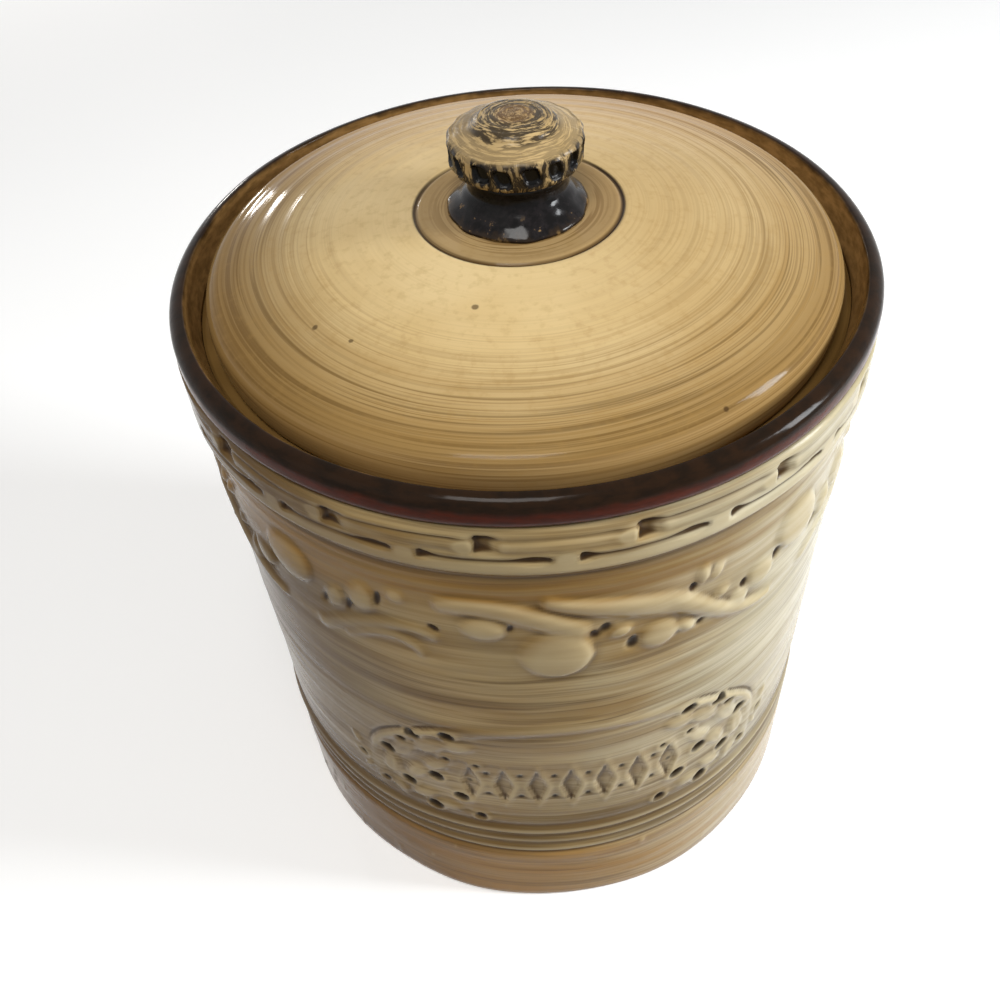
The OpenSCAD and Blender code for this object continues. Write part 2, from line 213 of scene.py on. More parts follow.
PANEL_LEAVES = [
    [36, 24, 13, 6.5, -14], [45.5, 20.5, 15, 7.5, -34], [55.5, 13, 16, 8, -55],
    [62, -1, 15, 7, -84], [52, 1, 13, 6.5, -58], [44.5, 9, 12, 6, -40],
    [60, -15.5, 11, 6, -112], [51, -13, 12, 6, -28], [42, -17, 11, 5.5, 12],
]
PITS = [[38.5, 30], [50.5, 25.5], [62, 8.5], [45, 1.2], [56, -7.8], [47.2, -19.2], [37, -8.5]]
SMALL_PITS = [[74.5, -4.7, 1.5], [31, -20, 1.7], [30.5, 13.5, 1.1], [55.5, 19.5, 1.5], [66, -14.5, 1.4],
              [40.5, 14.5, 1.2], [33.5, 2.5, 1.0]]
BUDS = [[76, 3, 7, 60], [73, -11, 6, -60]]
# Hollows beside the berries and leaves, mostly on their side away from the light; they are coloured dark,
# partly pooled glaze and partly painted shadow: u, v, radius, stretch, turn
HOLLOWS = [
    [10.4, -4.0, 1.5, 1.4, -60], [21.2, -11.5, 2.1, 1.5, 80], [13.2, -2.0, 1.8, 1.4, 60],
    [38.4, 4.6, 1.3, 1.4, 70], [56.6, -5.6, 1.2, 1.8, 75], [69.3, -2.5, 1.4, 2.0, 70],
    [-12.4, 1.4, 1.0, 1.6, 80], [-49.2, 5.0, 1.2, 3.0, 80], [-59.8, -3.2, 1.1, 3.0, 75],
    [-69.0, -6.0, 1.1, 3.0, 70], [42.2, -13.4, 1.1, 1.4, 50], [-33.5, -2.2, 1.2, 2.0, -40],
]


def draw_frieze():
    for i in range(FRIEZE_COUNT):
        start = FRIEZE_TURN + i * 360 / FRIEZE_COUNT
        for p in STROKES:
            stroke(start, FRIEZE_Z, p, 1.6 if p[0][0] > -32 else 1.0)
        for u, v, length, width, angle in LEAVES:
            leaf(start, FRIEZE_Z, u, v, length, width, angle, 1.5 if u > -30 else 1.2, 0.0, 0.35)
        for u, v, radius in BERRIES:
            berry(start, FRIEZE_Z, u, v, radius, 0.7 + 0.11 * radius, 0.55 if abs(u) < 5 else 0.3)
        for u, v, radius, stretch, angle in HOLLOWS:
            pit(start, FRIEZE_Z, u, v, radius, 0.9, stretch, angle)


def draw_panel():
    r = wall_r(ARCH_Z)
    patch = Patch(PANEL_TURN, ARCH_Z, 86, 46)
    flat = patch.u
    # Distance inwards from the arch's outer edge, good enough near the edge
    q = np.where(patch.v > 0, np.hypot(flat / PANEL_W, patch.v / PANEL_RISE), np.abs(flat) / PANEL_W)
    grad = np.where(patch.v > 0,
                    np.hypot(flat / PANEL_W ** 2, patch.v / PANEL_RISE ** 2) / np.maximum(q, 1e-6),
                    1 / PANEL_W)
    d = (1 - q) / np.maximum(grad, 1e-6)
    legs = smoothstep(patch.v, PANEL_FOOT - 0.3, PANEL_FOOT + 3)
    corner = smoothstep(np.abs(flat), 30, 48) * smoothstep(patch.v, 2, 12)
    outer = (0.55 + 1.0 * corner) * np.exp(-((d - 1.0) / 0.85) ** 2)
    inner = 0.5 * np.exp(-((d - 2.9) / 0.6) ** 2)
    raise_to(patch, legs * np.where(patch.v < 0, 0.75, 1.0) * np.maximum(outer, inner))
    sink_to(patch, 0.35 * legs * smoothstep(d, 3, 6) * smoothstep(patch.v, PANEL_FOOT, PANEL_FOOT + 6))
    sink_to(patch, 0.7 * corner * np.exp(-((d + 1.2) / 0.7) ** 2))
    for side in (-1, 1):
        for u, v, length, width, angle in PANEL_LEAVES:
            leaf(PANEL_TURN, ARCH_Z, side * u, v, length, width, side * angle, 1.25, 0.5)
        for u, v in PITS:
            rimmed_pit(side * u, v, 2.1, 1.8)
        for u, v, radius in SMALL_PITS:
            rimmed_pit(side * u, v, radius, 1.3)
        for u, v, length, angle in BUDS:
            leaf(PANEL_TURN, ARCH_Z, side * u, v, length, 2.6, side * angle, 1.0, 0.0)
    for i in range(7):
        u0 = (i - 3) * 11.0
        patch = Patch(PANEL_TURN + math.degrees(u0 / r), ARCH_Z + 2.5, 7, 15)
        d = 1 - np.abs(patch.u) / 3.7 - np.abs(patch.v) / 12
        sink_to(patch, 1.5 * smoothstep(d, -0.02, 0.2))
        raise_to(patch, (0.45 + 0.2 * np.sign(patch.u)) * smoothstep(d, -0.36, -0.08))
    for i in range(6):
        u0 = (i - 2.5) * 11.0
        for v in (-6.5, 6.5):
            pit(PANEL_TURN, ARCH_Z + 2.5, u0, v, 1.4, 1.1)


def rimmed_pit(u, v, radius, depth):
    pit(PANEL_TURN, ARCH_Z, u, v, radius, depth, 1.35, 35 if u > 0 else -35)
    patch = Patch(PANEL_TURN + math.degrees(u / wall_r(ARCH_Z)), ARCH_Z + v, radius * 3, radius * 3)
    rho = np.hypot(patch.u, patch.v)
    raise_to(patch, 0.8 * np.exp(-((rho - radius - 0.9) / 0.75) ** 2))


def draw_planks():
    zz = ZZ[:, None]
    wob = blur(np.random.default_rng(3).standard_normal((1, NU)), 60, 0)
    wob = wob / wob.std() * 0.25
    pitch = 360 / JOINTS
    # Planks stand proud of the wall, with soft edges
    out = PLANKS_R - WALL_TOP_R
    step = (out * smoothstep(zz + wob, PLANKS_Z - 1.2, PLANKS_Z + 2.6)
            - (out - 1.4) * smoothstep(zz, LIP_Z - 4, LIP_Z))
    # Score line along the upper course, stopping short of each joint
    rel = ((AZ - UPPER_JOINT_TURN + pitch / 2) % pitch - pitch / 2)[None, :] * math.radians(1) * PLANKS_R
    run = smoothstep(np.abs(rel), 1.0, 4.0)
    score = 0.8 * np.exp(-((zz - UPPER_JOINT_Z - 1.5 + wob) / 0.55) ** 2) * (0.55 + 0.45 * run)
    line2 = 0.4 * np.exp(-((zz - UPPER_JOINT_Z - 3.4 + wob * 1.5) / 0.45) ** 2)
    for k, (line_z, depth) in enumerate(((1.9, 0.45), (-1.6, 0.25), (-9.0, 0.3), (-11.2, 0.2))):
        amp = blur(np.random.default_rng(30 + k).standard_normal((1, NU)), 90, 0)
        amp = np.clip(0.6 + 0.55 * amp / amp.std(), 0, 1.6)
        line2 = line2 + depth * amp * np.exp(-((zz - UPPER_JOINT_Z - line_z + wob * (k - 1)) / 0.42) ** 2)
    # Pocket at each joint: a round-cornered recess with a swollen plank end at its left
    deep = smoothstep(rel, -2.9, -1.9) * smoothstep(rel, 5.5, -0.5)
    pocket = 1.9 * deep * smoothstep(3.1 - np.abs(zz - UPPER_JOINT_Z + 0.1), -0.5, 1.3)
    swell = 1.0 * np.exp(-((rel + 5.0) / 2.1) ** 2 - ((zz - UPPER_JOINT_Z + 0.9) / 2.5) ** 2)
    # Lower course: a slot between two bridges, deep at its ends and thin between them
    rel2 = ((AZ - SLOT_TURN) % pitch)[None, :] * math.radians(1) * PLANKS_R
    length = math.radians(pitch) * PLANKS_R
    ends = 3.0
    inside = np.minimum(rel2 - ends, length - ends - rel2)
    tall = (0.7 + 1.0 * np.exp(-(rel2 - ends - 1.0) ** 2 / 9)
            + 0.75 * np.exp(-(length - ends - 5 - rel2) ** 2 / 20))
    slot = smoothstep(tall - np.abs(zz - SLOT_Z + wob), -0.35, 0.7) * smoothstep(inside, -0.4, 0.9)
    near_end, far_end = rel2 - ends - 1.0, length - ends - 5 - rel2
    slot = slot * (0.9 + 0.6 * np.exp(-near_end ** 2 / 12) + 0.4 * np.exp(-far_end ** 2 / 20))
    lump = 0.8 * np.exp(-((np.minimum(rel2, length - rel2)) / 2.4) ** 2 - ((zz - SLOT_Z) / 2.4) ** 2)
    course = 0.5 * np.exp(-((zz - SLOT_Z - 2.6 + wob) / 0.5) ** 2)
    low = 0.5 * np.exp(-((zz - PLANKS_Z - 2.2 + wob) / 0.55) ** 2)
    return step + swell + lump - score - line2 - pocket - slot - course - low


draw_frieze()
draw_panel()
ornament = blur(relief, 2.3, 2.3) - blur(sunk, 1.5, 1.5)
moat = np.clip(blur(ornament, 5, 5) - ornament, 0, None)
ornament = ornament - 0.12 * moat
planks = blur(draw_planks(), 1.1, 1.1)

zcol = ZZ[:, None]
rings = np.zeros((NV, 1))
RING_TALL, RING_HALF = 0.8, 2.43
for ring_z in (38.5, 44.5, 50.5):
    rings = rings + RING_TALL * np.clip(1 - ((zcol - ring_z) / RING_HALF) ** 2, 0, 1) ** 1.2
# Scored lines: height and depth
SCORED = [[186.5, 0.3], [189.6, 0.25], [54.6, 0.35], [60.5, 0.2], [13.0, 0.25], [16.2, 0.35], [27.0, 0.15]]
for line_z, deep in SCORED:
    rings = rings - deep * np.exp(-((zcol - line_z) / 0.7) ** 2)
step = (BASE_R - WALL_FOOT_R) * (1 - smoothstep(zcol, BAND_H - 1.4, BAND_H + 0.4))
shape = (NV, NU)
CRUMBS = 46
wave = field(shape, 45, 30, 11)
throwing = field(shape, 260, 4.0, 12) * 0.05 + field(shape, 160, 12.0, 13) * 0.09
lumps = wave * 0.14
body = planks + step + rings * (1 + 0.12 * field(shape, 50, 3, 14)) + ornament + throwing + lumps
# Crumbs of clay on the base band
for _ in range(CRUMBS):
    a, z = rng.uniform(-180, 180), rng.uniform(5, 31)
    patch = Patch(a, z, 4, 4)
    rad = rng.uniform(0.7, 1.9)
    q = np.clip(1 - (patch.u ** 2 + patch.v ** 2) / rad ** 2, 0, 1)
    body[patch.at] += 0.28 * rad * q ** 1.5
cavity = blur(body, 9, 9) - body
fine_cavity = blur(body, 3, 3) - body


def sample(img, az, z):
    """Bilinear look-up of a wall field at azimuths (degrees) and heights."""
    x = (np.asarray(az) + 180) / 360 * NU - 0.5
    y = np.clip(np.asarray(z) / CELL, 0, NV - 1.001)
    i, j = np.floor(x).astype(int), np.floor(y).astype(int)
    fx, fy = x - i, y - j
    i0, i1 = i % NU, (i + 1) % NU
    return ((1 - fy) * ((1 - fx) * img[j, i0] + fx * img[j, i1])
            + fy * ((1 - fx) * img[j + 1, i0] + fx * img[j + 1, i1]))


# ---------------------------------------------------------------- meshes
def revolve(name, prof, az, shift=None, attrs=None, closed=False):
    """A solid of revolution: prof is rows of (r, z), az the azimuths in degrees.

    The function shift moves (r, z) per vertex. A row with r = 0 becomes one pole. The profile runs so that
    the surface's outside is to its right.
    """
    prof = np.asarray(prof, float)
    az = np.asarray(az, float)
    n = len(az)
    rr = np.repeat(prof[:, :1], n, axis=1)
    zz = np.repeat(prof[:, 1:2], n, axis=1)
    aa = np.repeat(az[None, :], len(prof), axis=0)
    if shift is not None:
        dr, dz = shift(rr, zz, aa)
        rr, zz = rr + dr, zz + dz
    verts, index = [], np.full(rr.shape, -1)
    a = np.radians(aa)
    pts = np.stack([rr * np.sin(a), -rr * np.cos(a), zz], axis=-1) * MM
    count = 0
    for k in range(len(prof)):
        if prof[k, 0] == 0:
            verts.append(np.array([[0, 0, zz[k].mean() * MM]]))
            index[k] = count
            count += 1
        else:
            verts.append(pts[k])
            index[k] = count + np.arange(n)
            count += n
    verts = np.concatenate(verts)
    faces = []
    rows = range(len(prof) if closed else len(prof) - 1)
    nxt = np.roll(np.arange(n), -1)
    for k in rows:
        i0, i1 = index[k], index[(k + 1) % len(prof)]
        if prof[k, 0] == 0:
            faces += [(int(i0[0]), int(b), int(c)) for b, c in zip(i1[nxt], i1)]
        elif prof[(k + 1) % len(prof), 0] == 0:
            faces += [(int(b), int(c), int(i1[0])) for b, c in zip(i0, i0[nxt])]
        else:
            faces += list(zip(i0.tolist(), i0[nxt].tolist(), i1[nxt].tolist(), i1.tolist()))
    mesh = bpy.data.meshes.new(name)
    mesh.from_pydata(verts.tolist(), [], faces)
    mesh.update()
    mesh.shade_smooth()
    ob = bpy.data.objects.new(name, mesh)
    bpy.context.scene.collection.objects.link(ob)
    if attrs is not None:
        for key, func in attrs.items():
            vals = func(rr, zz, aa)
            flat = np.concatenate([vals[k][:1] if prof[k, 0] == 0 else vals[k] for k in range(len(prof))])
            layer = mesh.attributes.new(key, "FLOAT", "POINT")
            layer.data.foreach_set("value", flat.astype(np.float32))
    return ob


def arc(cx, cz, r, a0, a1, steps):
    t = np.radians(np.linspace(a0, a1, steps + 1))
    return [(cx + r * math.cos(x), cz + r * math.sin(x)) for x in t]


def spread(lo, hi, step):
    n = max(1, int(round((hi - lo) / step)))
    return list(np.linspace(lo, hi, n + 1)[:-1])


# Columns are closer together at the front, where the panel is
dense = np.linspace(-180, 180, 4001)
weight = 1.0 + 0.62 * (smoothstep(dense, -75, -45) - smoothstep(dense, 50, 80))
cum = np.concatenate([[0], np.cumsum((weight[1:] + weight[:-1]) / 2)])
POT_COLS = 620
POT_AZ = np.interp(np.arange(POT_COLS) / POT_COLS * cum[-1], cum, dense)

outer_z = (spread(4.0, 34, 2.7) + spread(34, 56, 0.9) + spread(56, 119.5, 1.05) + spread(119.5, 143, 3.9)
           + spread(143, 185, 0.95) + spread(185, 191, 1.2) + spread(191, 209.2, 0.65) + [209.2])
outer = [(wall_r(max(z, BAND_H)), z) for z in outer_z]
bore_top, bore_foot = WALL_TOP_R - WALL_T, WALL_FOOT_R - WALL_T
ring_in = BASE_R - FOOT_ROUND - FOOT_W
pot_prof = ([(0, FOOT_RECESS), (40, FOOT_RECESS), (ring_in - 0.6, FOOT_RECESS), (ring_in, 3.0),
             (ring_in + 0.2, 0.5), (ring_in + 0.7, 0.0), (WALL_FOOT_R - 3.4, 0.0)]
            + arc(WALL_FOOT_R - 2.2, 2.2, 2.2, -90, -12, 6) + outer
            + [(NECK_R - 0.5, LIP_Z), (98.0, LIP_Z), (GALLERY_FOOT_R + 0.3, LIP_Z),
               (GALLERY_FOOT_R - 0.2, LEDGE_Z + 0.4), (GALLERY_FOOT_R - 0.8, LEDGE_Z),
               (LEDGE_R + 1, LEDGE_Z), (LEDGE_R + 0.3, LEDGE_Z - 0.3),
               (LEDGE_R, LEDGE_Z - 1), (LEDGE_R, LEDGE_Z - 3.2), (LEDGE_R + 0.3, LEDGE_Z - 4.2)]
            + [(bore_top - 0.4, 198.6), (bore_top - 0.1, 197.6), (bore_top - 0.2, 190), (92.8, 110)]
            + arc(bore_foot - 8, FLOOR_Z + 8, 8, 0, -90, 7) + [(55, FLOOR_Z), (20, FLOOR_Z), (0, FLOOR_Z)])
N_UNDER = 7 + 7
outer_rows = np.zeros(len(pot_prof), bool)
outer_rows[N_UNDER:N_UNDER + len(outer)] = True


def pot_shift(rr, zz, aa):
    dr = np.zeros_like(rr)
    rows = np.where(outer_rows)[0]
    dr[rows] = sample(body, aa[rows], zz[rows])
    # The round at the foot carries the base band's step with it
    for k in range(7, N_UNDER):
        dr[k] = sample(body, aa[k], np.full_like(aa[k], 4.0)) * smoothstep(zz[k], -2.0, 2.5)
    dr = np.minimum(dr, REACH - rr)
    return dr, np.zeros_like(rr)


def wall_attr(img):
    def get(rr, zz, aa):
        out = np.zeros_like(rr)
        rows = np.where(outer_rows)[0]
        heights = np.array([pot_prof[k][1] for k in rows])[:, None]
        out[rows] = sample(img, aa[rows], np.repeat(heights, aa.shape[1], 1))
        return out
    return get


pot = revolve("pot", pot_prof, POT_AZ, pot_shift,
              {"cavity": wall_attr(cavity), "fine_cavity": wall_attr(fine_cavity),
               "lift": wall_attr(ornament), "pooled_glaze_and_shade": wall_attr(blur(pooled_glaze_and_shade, 1.5, 1.5))})

# The lip: highest at its inner edge, rounded over to the outside, with a slight hand-made waver
crown_r = LIP_T - LIP_EDGE
LIP_IN = 0.12
lip_prof = ([(GALLERY_FOOT_R + 0.2, LIP_Z), (98.0, LIP_Z), (NECK_R - 0.3, LIP_Z), (NECK_R, LIP_Z + 0.2),
             (LIP_R - 0.75, LIP_Z + 0.8), (LIP_R - 0.35, LIP_Z + 1.6), (LIP_R - LIP_IN, LIP_Z + 2.8)]
            + arc(LIP_R - LIP_IN - crown_r, JAR_H - LIP_IN - crown_r, crown_r, 6, 86, 14)
            + arc(GALLERY_R + LIP_EDGE, JAR_H - LIP_IN - LIP_EDGE, LIP_EDGE, 96, 176, 5)
            + [(GALLERY_R - 0.4, JAR_H - 2.4), (GALLERY_R - 1.2, JAR_H - 4.4), (GALLERY_R - 2.2, JAR_H - 6.6),
               (GALLERY_R - 3.0, JAR_H - 8.2)])


def lip_shift(rr, zz, aa):
    a = np.radians(aa)
    w = 0.055 * (np.sin(3 * a + 1.0) + np.sin(5 * a + 0.4) + np.sin(9 * a + 2.0)) - 0.12
    up = smoothstep(zz, LIP_Z + 1, LIP_Z + 4)
    return w * up, 0.5 * w * smoothstep(zz, JAR_H - 4, JAR_H)


lip = revolve("lip", lip_prof, np.linspace(-180, 180, 321)[:-1], lip_shift, closed=True)

# The lid
fillet_r = LID_R - SHOULDER_R
fillet_z = BALL_Z + math.sqrt((DOME_R - SHOULDER_R) ** 2 - fillet_r ** 2)
top_a = math.degrees(math.atan2(fillet_z - BALL_Z, fillet_r))
under_r = DOME_R - 6


def ball(r, radius=DOME_R):
    return BALL_Z + math.sqrt(radius ** 2 - r ** 2)


flange_r = LEDGE_R - 2
flange_in = flange_r - 5
lid_prof = ([(0, ball(0, under_r))] + [(r, ball(r, under_r)) for r in (20, 40, 58, 70, 76)]
            + [(flange_in - 2.0, ball(flange_in, under_r) - 0.6),
               (flange_in - 0.4, ball(flange_in, under_r) - 2.2),
               (flange_in, ball(flange_in, under_r) - 4),
               (flange_in, LEDGE_Z - 7), (flange_in + 0.4, LEDGE_Z - 7.7),
               (flange_in + 1.2, LEDGE_Z - 8), (flange_r - 1.2, LEDGE_Z - 8), (flange_r - 0.3, LEDGE_Z - 7.6),
               (flange_r, LEDGE_Z - 6.8), (flange_r, LEDGE_Z), (90.6, LEDGE_Z), (91.5, LEDGE_Z + 0.3),
               (92.2, LEDGE_Z + 1.2), (LID_R - 0.1, LEDGE_Z + 2.6), (LID_R, LEDGE_Z + 5)]
            + arc(fillet_r, fillet_z, SHOULDER_R, 4, top_a - 2, 12)
            + [(r, ball(r)) for r in
               np.linspace(fillet_r * DOME_R / (DOME_R - SHOULDER_R) - 0.8, PAD_R + 1.7, 44)]
            + [(PAD_R + dr, ball(PAD_R + dr) - dz) for dr, dz in
               ((1.1, 0.03), (0.6, 0.12), (0.2, 0.42), (-0.1, 0.62), (-0.4, 0.55), (-0.8, 0.16))]
            + [(r, PAD_Z) for r in (28.2, 27.6, 26, 24, 22, 20, 12, 0)])


def lid_shift(rr, zz, aa):
    a = np.radians(aa)
    top = (zz > LEDGE_Z + 6) & (rr > 0.1) & (zz > ball(0, under_r) - 26)
    # Throwing ridges spiral out from the middle
    phase = rr + 0.9 * a / math.pi
    ridge = (0.10 * np.sin(phase * 2 * math.pi / 7.3 + 0.6 * np.sin(2 * a))
             + 0.07 * np.sin(phase * 2 * math.pi / 3.9 + np.sin(a)))
    ridge = ridge * smoothstep(rr, 33, 40) * (0.5 + 0.5 * smoothstep(rr, 45, 85))
    is_top = zz > np.interp(rr, [0, 40, 70, 84, 93], [231, 230.5, 224, 219, 214])
    sag = 0.12 * np.sin(2 * a + 0.7) * smoothstep(rr, 30, 90)
    return np.zeros_like(rr), np.where(is_top & top, ridge + sag, 0.0)


lid = revolve("lid", lid_prof, np.linspace(-180, 180, 361)[:-1], lid_shift)

# The stem: a waist that flares into a soft, slightly ragged foot
stem_prof = ([(0, PAD_Z), (KNOB_FOOT_R - 2, PAD_Z), (KNOB_FOOT_R - 0.5, PAD_Z),
              (KNOB_FOOT_R - 0.15, PAD_Z + 0.25)]
             + [(STEM_R - 0.2 + (KNOB_FOOT_R - STEM_R) * (1 - t) ** 2.6
                 + 0.9 * math.exp(-((t - 0.86) / 0.16) ** 2),
                 PAD_Z + 0.6 + (STEM_H - 1.8) * t ** 0.92) for t in np.linspace(0.02, 1, 30)]
             + [(STEM_R + 0.6, CAP_Z - 0.5), (STEM_R + 1.0, CAP_Z), (0, CAP_Z)])


def stem_shift(rr, zz, aa):
    a = np.radians(aa)
    low = 1 - smoothstep(zz, PAD_Z, PAD_Z + 6)
    w = 0.25 * np.sin(3 * a + 0.5) + 0.18 * np.sin(7 * a + 1.1) + 0.12 * np.sin(13 * a) - 0.35
    mid = 0.12 * np.sin((zz - PAD_Z) * 1.7 + 0.5 * np.sin(a))
    body_part = (rr > 1) & (zz < CAP_Z - 0.2)
    return np.where(body_part, w * low + mid * (1 - low), 0.0), np.zeros_like(rr)


stem = revolve("knob_stem_glazed", stem_prof, np.linspace(-180, 180, 193)[:-1], stem_shift)

# The cap: a banded button with a row of sunk nicks and a brushed, domed top
TOP_Z = CAP_Z + CAP_BAND_H
STEP_R = CAP_R * 0.6
cap_prof = ([(0, CAP_Z), (STEM_R + 0.6, CAP_Z), (STEM_R + 1.6, CAP_Z + 0.05), (CAP_R - 3.0, CAP_Z + 0.35)]
            + arc(CAP_R - 2.4, CAP_Z + 2.2, 1.9, -78, -12, 8)
            + [(CAP_R - 0.5 + 0.3 * t, CAP_Z + 2.2 + (CAP_BAND_H - 4.4) * t)
               for t in np.linspace(0.06, 1, 14)]
            + arc(CAP_R - 2.4, TOP_Z - 2.0, 2.2, 10, 66, 8)
            + [(r, TOP_Z + 0.1 + (CAP_R - 1.5 - r) * 0.32) for r in np.linspace(CAP_R - 2.2, STEP_R + 0.9, 7)]
            + [(STEP_R + 0.3, TOP_Z + 2.25), (STEP_R - 0.1, TOP_Z + 2.6)]
            + [(STEP_R * math.cos(t), TOP_Z + 2.45 + (CAP_TOP_H - 2.55) * math.sin(t) ** 0.9)
               for t in np.radians(np.linspace(8, 86, 26))]
            + [(0, TOP_Z + CAP_TOP_H - 0.08)])
NICKS = 16
nick_rng = np.random.default_rng(21)
nick_size = nick_rng.uniform(0.65, 1.3, NICKS)
nick_deep = nick_rng.uniform(0.75, 1.1, NICKS)
nick_off = nick_rng.uniform(-0.8, 0.8, NICKS)


def nick_field(zz, aa):
    k = np.floor((aa / 360 * NICKS) % NICKS).astype(int) % NICKS
    centre = (k + 0.5) * 360 / NICKS
    du = np.radians((aa - centre + 180) % 360 - 180) * CAP_R - nick_off[k]
    dz = zz - (CAP_Z + CAP_BAND_H / 2 + 0.4) - nick_off[k] * 0.5
    w = 2.0 * nick_size[k]
    d = (np.abs((du + 0.25 * dz) / w) ** 3 + np.abs(dz / 2.4) ** 3) ** (1 / 3)
    return smoothstep(1.15 - d, 0, 0.4) * nick_deep[k], smoothstep(1.75 - d, 0, 0.75)


def cap_shift(rr, zz, aa):
    a = np.radians(aa)
    side = smoothstep(rr, 15.0, 17.5) * smoothstep(zz, CAP_Z + 0.2, CAP_Z + 1.2)
    dr = -1.5 * nick_field(zz, aa)[0] * side
    scallop = 0.22 * np.cos(np.radians(aa) * NICKS)
    dr = dr - (0.22 + scallop) * side
    top = smoothstep(zz, TOP_Z + 1.0, TOP_Z + 3.0) * smoothstep(rr, 0.5, 3)
    phase = rr + 0.5 * a / math.pi
    dz = top * (0.10 * np.sin(phase * 2 * math.pi / 2.3)
                + 0.06 * np.sin(phase * 2 * math.pi / 1.25 + 2 * np.sin(a)) - 0.1)
    lump = 0.12 * np.sin(2 * a + 1) * smoothstep(rr, 3, 12)
    return dr, dz + np.where(zz > TOP_Z, lump - 0.12, 0)


def on_band(rr, zz):
    return (smoothstep(rr, 14.5, 16.5) * smoothstep(zz, CAP_Z + 0.4, CAP_Z + 1.4)
            * (1 - smoothstep(zz, TOP_Z - 0.2, TOP_Z + 0.6)))


cap = revolve("knob_cap_glazed", cap_prof, np.linspace(-180, 180, 361)[:-1], cap_shift,
              {"nick": lambda rr, zz, aa: nick_field(zz, aa)[0] * on_band(rr, zz),
               "smear": lambda rr, zz, aa: nick_field(zz, aa)[1] * on_band(rr, zz)})


# ---------------------------------------------------------------- materials
def lin(r, g, b):
    """A colour written in 0 to 255 screen values, made linear."""
    part = (c / 255 for c in (r, g, b))
    return tuple(c / 12.92 if c <= 0.04045 else ((c + 0.055) / 1.055) ** 2.4 for c in part) + (1,)


GLAZE_IOR = 1.29


class Graph:
    """A small helper for building a node tree."""

    def __init__(self, name):
        self.mat = bpy.data.materials.new(name)
        self.mat.use_nodes = True
        self.nt = self.mat.node_tree
        self.nt.nodes.clear()

    def node(self, kind, **props):
        n = self.nt.nodes.new(kind)
        for k, v in props.items():
            setattr(n, k, v)
        return n

    def put(self, sock, value):
        if isinstance(value, bpy.types.NodeSocket):
            self.nt.links.new(value, sock)
        else:
            sock.default_value = value

    def math(self, op, *args, clamp=False):
        n = self.node("ShaderNodeMath", operation=op, use_clamp=clamp)
        for s, v in zip(n.inputs, args):
            self.put(s, v)
        return n.outputs[0]

    def mul(self, a, b):
        return self.math("MULTIPLY", a, b)

    def add(self, a, b, clamp=False):
        return self.math("ADD", a, b, clamp=clamp)

    def sway(self, noise, amount):
        """A noise recentred on 0 and scaled, to shift a coordinate by."""
        return self.mul(self.math("SUBTRACT", noise, 0.5), amount)

    def span(self, value, lo, hi, a=0.0, b=1.0, smooth=True):
        n = self.node("ShaderNodeMapRange", interpolation_type="SMOOTHSTEP" if smooth else "LINEAR")
        for s, v in zip(n.inputs, (value, lo, hi, a, b)):
            self.put(s, v)
        return n.outputs[0]

    def vec(self, x, y, z):
        n = self.node("ShaderNodeCombineXYZ")
        for s, v in zip(n.inputs, (x, y, z)):
            self.put(s, v)
        return n.outputs[0]

    def turned(self, c, s, turns, along, freq):
        """A noise coordinate that is long round the axis and fine along the given direction."""
        return self.vec(self.mul(c, turns), self.mul(s, turns), self.mul(along, freq))

    def noise(self, vector, scale=1.0, detail=3.0, rough=0.5, distort=0.0):
        n = self.node("ShaderNodeTexNoise", noise_dimensions="3D")
        self.put(n.inputs["Vector"], vector)
        self.put(n.inputs["Scale"], scale)
        self.put(n.inputs["Detail"], detail)
        self.put(n.inputs["Roughness"], rough)
        self.put(n.inputs["Distortion"], distort)
        return n.outputs["Fac"]

    def bands(self, c, s, along, turns, parts):
        """Streaks round the axis: a weighted sum of plain noises, each (frequency across, weight)."""
        total = None
        for k, (freq, weight) in enumerate(parts):
            at = self.vec(self.math("MULTIPLY_ADD", c, turns, 5.3 * k), self.mul(s, turns),
                          self.mul(along, freq))
            part = self.mul(self.noise(at, 1, 0), weight)
            total = part if total is None else self.add(total, part)
        return total

    def mix(self, fac, a, b):
        n = self.node("ShaderNodeMix", data_type="RGBA")
        self.put(n.inputs[0], fac)
        self.put(n.inputs[6], a)
        self.put(n.inputs[7], b)
        return n.outputs[2]

    def attr(self, name):
        return self.node("ShaderNodeAttribute", attribute_name=name).outputs["Fac"]

    def coords(self):
        """Object position in metres, radius, and the unit vector round the axis."""
        pos = self.node("ShaderNodeTexCoord").outputs["Object"]
        sep = self.node("ShaderNodeSeparateXYZ")
        self.nt.links.new(pos, sep.inputs[0])
        x, y, z = sep.outputs
        r = self.math("SQRT", self.add(self.mul(x, x), self.mul(y, y)))
        safe = self.math("MAXIMUM", r, 0.0005)
        return pos, x, y, z, r, self.math("DIVIDE", x, safe), self.math("DIVIDE", y, safe)

    def bump(self, height, strength, distance):
        n = self.node("ShaderNodeBump")
        n.inputs["Strength"].default_value = strength
        n.inputs["Distance"].default_value = distance
        self.put(n.inputs["Height"], height)
        return n.outputs[0]

    def shader(self, color, rough, normal, level=0.17):
        """A glossy glaze; level sets how strongly it mirrors."""
        p = self.node("ShaderNodeBsdfPrincipled")
        self.put(p.inputs["Base Color"], color)
        self.put(p.inputs["Roughness"], rough)
        self.put(p.inputs["Normal"], normal)
        p.inputs["IOR"].default_value = GLAZE_IOR
        p.inputs["Specular IOR Level"].default_value = level
        out = self.node("ShaderNodeOutputMaterial")
        self.nt.links.new(p.outputs[0], out.inputs[0])
        return self.mat


